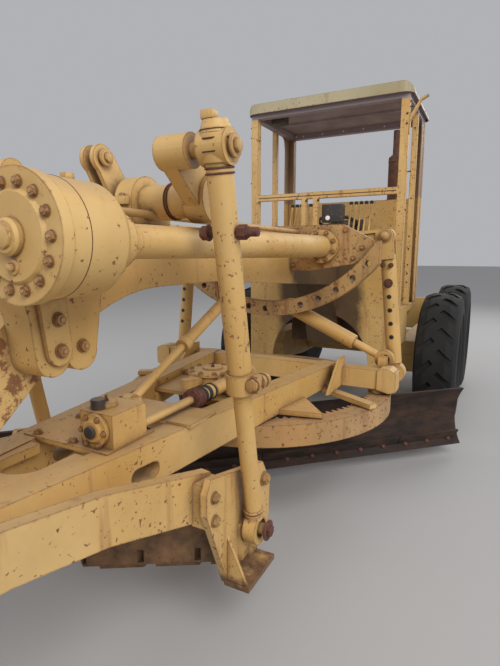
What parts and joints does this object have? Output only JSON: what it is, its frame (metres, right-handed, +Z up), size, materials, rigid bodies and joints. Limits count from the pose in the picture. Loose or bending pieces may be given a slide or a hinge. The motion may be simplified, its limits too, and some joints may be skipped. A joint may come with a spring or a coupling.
{
  "type": "motor grader",
  "caption": "Motor grader with an arched frame, mechanical lift arms, drawbar, circle and angled blade, V scarifier block, open cab and tandem rear wheels.",
  "frame": {"origin": "centre of the machine's bounding box, on the ground under the tyres", "axes": "+X forwards along the machine, +Y to its left, +Z up"},
  "size_m": [8.8699, 2.7126, 3.26],
  "materials": {
    "paint": "faded, chalky and rust-chipped",
    "worn_paint": "worn through to rust",
    "tyre": "matt, worn",
    "bare_steel": "dull",
    "roof_paint": "faded",
    "seat_cover": "worn",
    "dark_paint": "satin",
    "engine_iron": "oily, dull",
    "rusted_steel": "rusted"
  },
  "bodies": {
    "frame": {"main_frame": "paint", "rear_frame": "paint", "rear_plate": "paint", "lift_saddle": "paint", "lift_housings": "paint", "torque_tubes": "paint", "front_axle": "paint", "tandem_cases": "paint", "rear_axle": "paint", "scarifier_bearings": "paint", "cab_frame": "paint", "cab_roof": "roof_paint", "cab_floor": "paint", "operator_seat": "seat_cover", "steering_column": "dark_paint", "lever_stand": "paint", "fuel_tank": "paint", "engine": "engine_iron", "radiator": "paint", "hood": "paint", "exhaust": "rusted_steel"},
    "left_knuckle": {"left_knuckle": "paint"},
    "right_knuckle": {"right_knuckle": "paint"},
    "tie_rod": {"tie_rod": "paint"},
    "front_left_wheel": {"front_left_tyre": "tyre", "front_left_rim": "paint"},
    "front_right_wheel": {"front_right_tyre": "tyre", "front_right_rim": "paint"},
    "rear_left_front_wheel": {"rear_left_front_tyre": "tyre", "rear_left_front_rim": "paint"},
    "rear_left_back_wheel": {"rear_left_back_tyre": "tyre", "rear_left_back_rim": "paint"},
    "rear_right_front_wheel": {"rear_right_front_tyre": "tyre", "rear_right_front_rim": "paint"},
    "rear_right_back_wheel": {"rear_right_back_tyre": "tyre", "rear_right_back_rim": "paint"},
    "drawbar": {"drawbar": "paint", "circle_gearcase": "paint"},
    "circle": {"blade_circle": "worn_paint", "blade": "worn_paint"},
    "drive_tube": {"drive_tube": "paint"},
    "drive_shaft": {"drive_shaft": "paint"},
    "left_lift_arm": {"left_lift_arm": "paint"},
    "right_lift_arm": {"right_lift_arm": "paint"},
    "left_lift_link": {"left_lift_link": "paint"},
    "right_lift_link": {"right_lift_link": "paint"},
    "shift_barrel": {"shift_barrel": "paint"},
    "shift_rod": {"shift_rod": "bare_steel"},
    "scarifier": {"scarifier": "worn_paint"},
    "scarifier_crank": {"scarifier_crank": "paint"},
    "left_scarifier_link": {"left_scarifier_link": "paint"},
    "right_scarifier_link": {"right_scarifier_link": "paint"},
    "circle_pinion": {"circle_pinion": "worn_paint"}
  },
  "joints": [
    {"name": "drawbar_lift", "type": "hinge", "parent": "frame", "child": "drawbar", "pos_m": [3.275, 0, 0.8], "axis": [0, 1, 0], "range_deg": [0, 4]},
    {"name": "circle_turn", "type": "hinge", "parent": "drawbar", "child": "circle", "pos_m": [0.255, 0, 0.75], "axis": [0, 0, 1], "range_deg": [-88, 0]},
    {"name": "left_lift_arm_swing", "type": "hinge", "parent": "frame", "child": "left_lift_arm", "pos_m": [-0.075, 0.42, 1.81], "axis": [1, 0, 0], "range_deg": [0, 34]},
    {"name": "right_lift_arm_swing", "type": "hinge", "parent": "frame", "child": "right_lift_arm", "pos_m": [-0.075, -0.42, 1.81], "axis": [-1, 0, 0], "range_deg": [0, 34]},
    {"name": "left_lift_link_swing", "type": "hinge", "parent": "left_lift_arm", "child": "left_lift_link", "pos_m": [-0.075, 0.825, 1.88], "axis": [1, 0, 0], "range_deg": [-28.5, 0]},
    {"name": "right_lift_link_swing", "type": "hinge", "parent": "right_lift_arm", "child": "right_lift_link", "pos_m": [-0.075, -0.825, 1.88], "axis": [-1, 0, 0], "range_deg": [-28.5, 0]},
    {"name": "shift_barrel_swing", "type": "hinge", "parent": "frame", "child": "shift_barrel", "pos_m": [0.03, 0.14196, 1.36693], "axis": [1, 0, 0], "range_deg": [0, 16.5]},
    {"name": "shift_rod_slide", "type": "slide", "parent": "shift_barrel", "child": "shift_rod", "axis": [0, 0.9075, -0.42], "range_m": [-0.072, 0]},
    {"name": "drive_tube_swing", "type": "hinge", "parent": "frame", "child": "drive_tube", "pos_m": [0.895, 0.1, 1.5], "axis": [0, 1, 0], "range_deg": [-6.5, 0]},
    {"name": "drive_shaft_slide", "type": "slide", "parent": "drive_tube", "child": "drive_shaft", "axis": [0.9095, 0, -0.4158], "range_m": [-0.016, 0]},
    {"name": "scarifier_lift", "type": "hinge", "parent": "frame", "child": "scarifier", "pos_m": [3.105, 0, 0.83], "axis": [0, 1, 0], "range_deg": [-6, 0]},
    {"name": "scarifier_crank_swing", "type": "hinge", "parent": "frame", "child": "scarifier_crank", "pos_m": [1.675, 0, 1.97], "axis": [0, 1, 0], "range_deg": [0, 39]},
    {"name": "left_scarifier_link_swing", "type": "hinge", "parent": "scarifier_crank", "child": "left_scarifier_link", "pos_m": [1.885, 0.64, 2.11], "axis": [0, 1, 0], "range_deg": [-38.5, 0]},
    {"name": "right_scarifier_link_swing", "type": "hinge", "parent": "scarifier_crank", "child": "right_scarifier_link", "pos_m": [1.885, -0.64, 2.11], "axis": [0, 1, 0], "range_deg": [-38.5, 0]},
    {"name": "left_steer", "type": "hinge", "parent": "frame", "child": "left_knuckle", "pos_m": [3.755, 0.8, 0.68], "axis": [0, 0, 1], "range_deg": [-30, 30]},
    {"name": "right_steer", "type": "hinge", "parent": "frame", "child": "right_knuckle", "pos_m": [3.755, -0.8, 0.68], "axis": [0, 0, 1], "range_deg": [-30, 30]},
    {"name": "tie_rod_swing", "type": "hinge", "parent": "left_knuckle", "child": "tie_rod", "pos_m": [3.505, 0.77, 0.55], "axis": [0, 0, 1], "range_deg": [-31.2, 31.2]},
    {"name": "front_left_wheel_turn", "type": "hinge", "parent": "left_knuckle", "child": "front_left_wheel", "pos_m": [3.755, 1.01, 0.68], "axis": [0, 1, 0], "continuous": true},
    {"name": "front_right_wheel_turn", "type": "hinge", "parent": "right_knuckle", "child": "front_right_wheel", "pos_m": [3.755, -1.01, 0.68], "axis": [0, 1, 0], "continuous": true},
    {"name": "rear_left_front_wheel_turn", "type": "hinge", "parent": "frame", "child": "rear_left_front_wheel", "pos_m": [-1.895, 1.07, 0.68], "axis": [0, 1, 0], "continuous": true},
    {"name": "rear_left_back_wheel_turn", "type": "hinge", "parent": "frame", "child": "rear_left_back_wheel", "pos_m": [-3.455, 1.07, 0.68], "axis": [0, 1, 0], "continuous": true},
    {"name": "rear_right_front_wheel_turn", "type": "hinge", "parent": "frame", "child": "rear_right_front_wheel", "pos_m": [-1.895, -1.07, 0.68], "axis": [0, 1, 0], "continuous": true},
    {"name": "rear_right_back_wheel_turn", "type": "hinge", "parent": "frame", "child": "rear_right_back_wheel", "pos_m": [-3.455, -1.07, 0.68], "axis": [0, 1, 0], "continuous": true},
    {"name": "circle_pinion_turn", "type": "hinge", "parent": "drawbar", "child": "circle_pinion", "pos_m": [0.91327, 0, 0.8], "axis": [0, 0, 1], "range_deg": [-476.2, 1]}
  ],
  "couplings": [
    {"joint": "left_lift_arm_swing", "follows": "drawbar_lift", "ratio": 8.32},
    {"joint": "right_lift_arm_swing", "follows": "drawbar_lift", "ratio": 8.32},
    {"joint": "left_lift_link_swing", "follows": "drawbar_lift", "ratio": -6.88},
    {"joint": "right_lift_link_swing", "follows": "drawbar_lift", "ratio": -6.88},
    {"joint": "shift_barrel_swing", "follows": "drawbar_lift", "ratio": 3.98},
    {"joint": "shift_rod_slide", "follows": "drawbar_lift", "m_per_rad": -1.01},
    {"joint": "drive_tube_swing", "follows": "drawbar_lift", "ratio": -1.592},
    {"joint": "drive_shaft_slide", "follows": "drawbar_lift", "m_per_rad": -0.2168},
    {"joint": "scarifier_crank_swing", "follows": "scarifier_lift", "ratio": -6.4},
    {"joint": "left_scarifier_link_swing", "follows": "scarifier_lift", "ratio": 6.32},
    {"joint": "right_scarifier_link_swing", "follows": "scarifier_lift", "ratio": 6.32},
    {"joint": "right_steer", "follows": "left_steer", "ratio": 1},
    {"joint": "tie_rod_swing", "follows": "left_steer", "ratio": -1.037},
    {"joint": "circle_pinion_turn", "follows": "circle_turn", "ratio": 5.4}
  ]
}
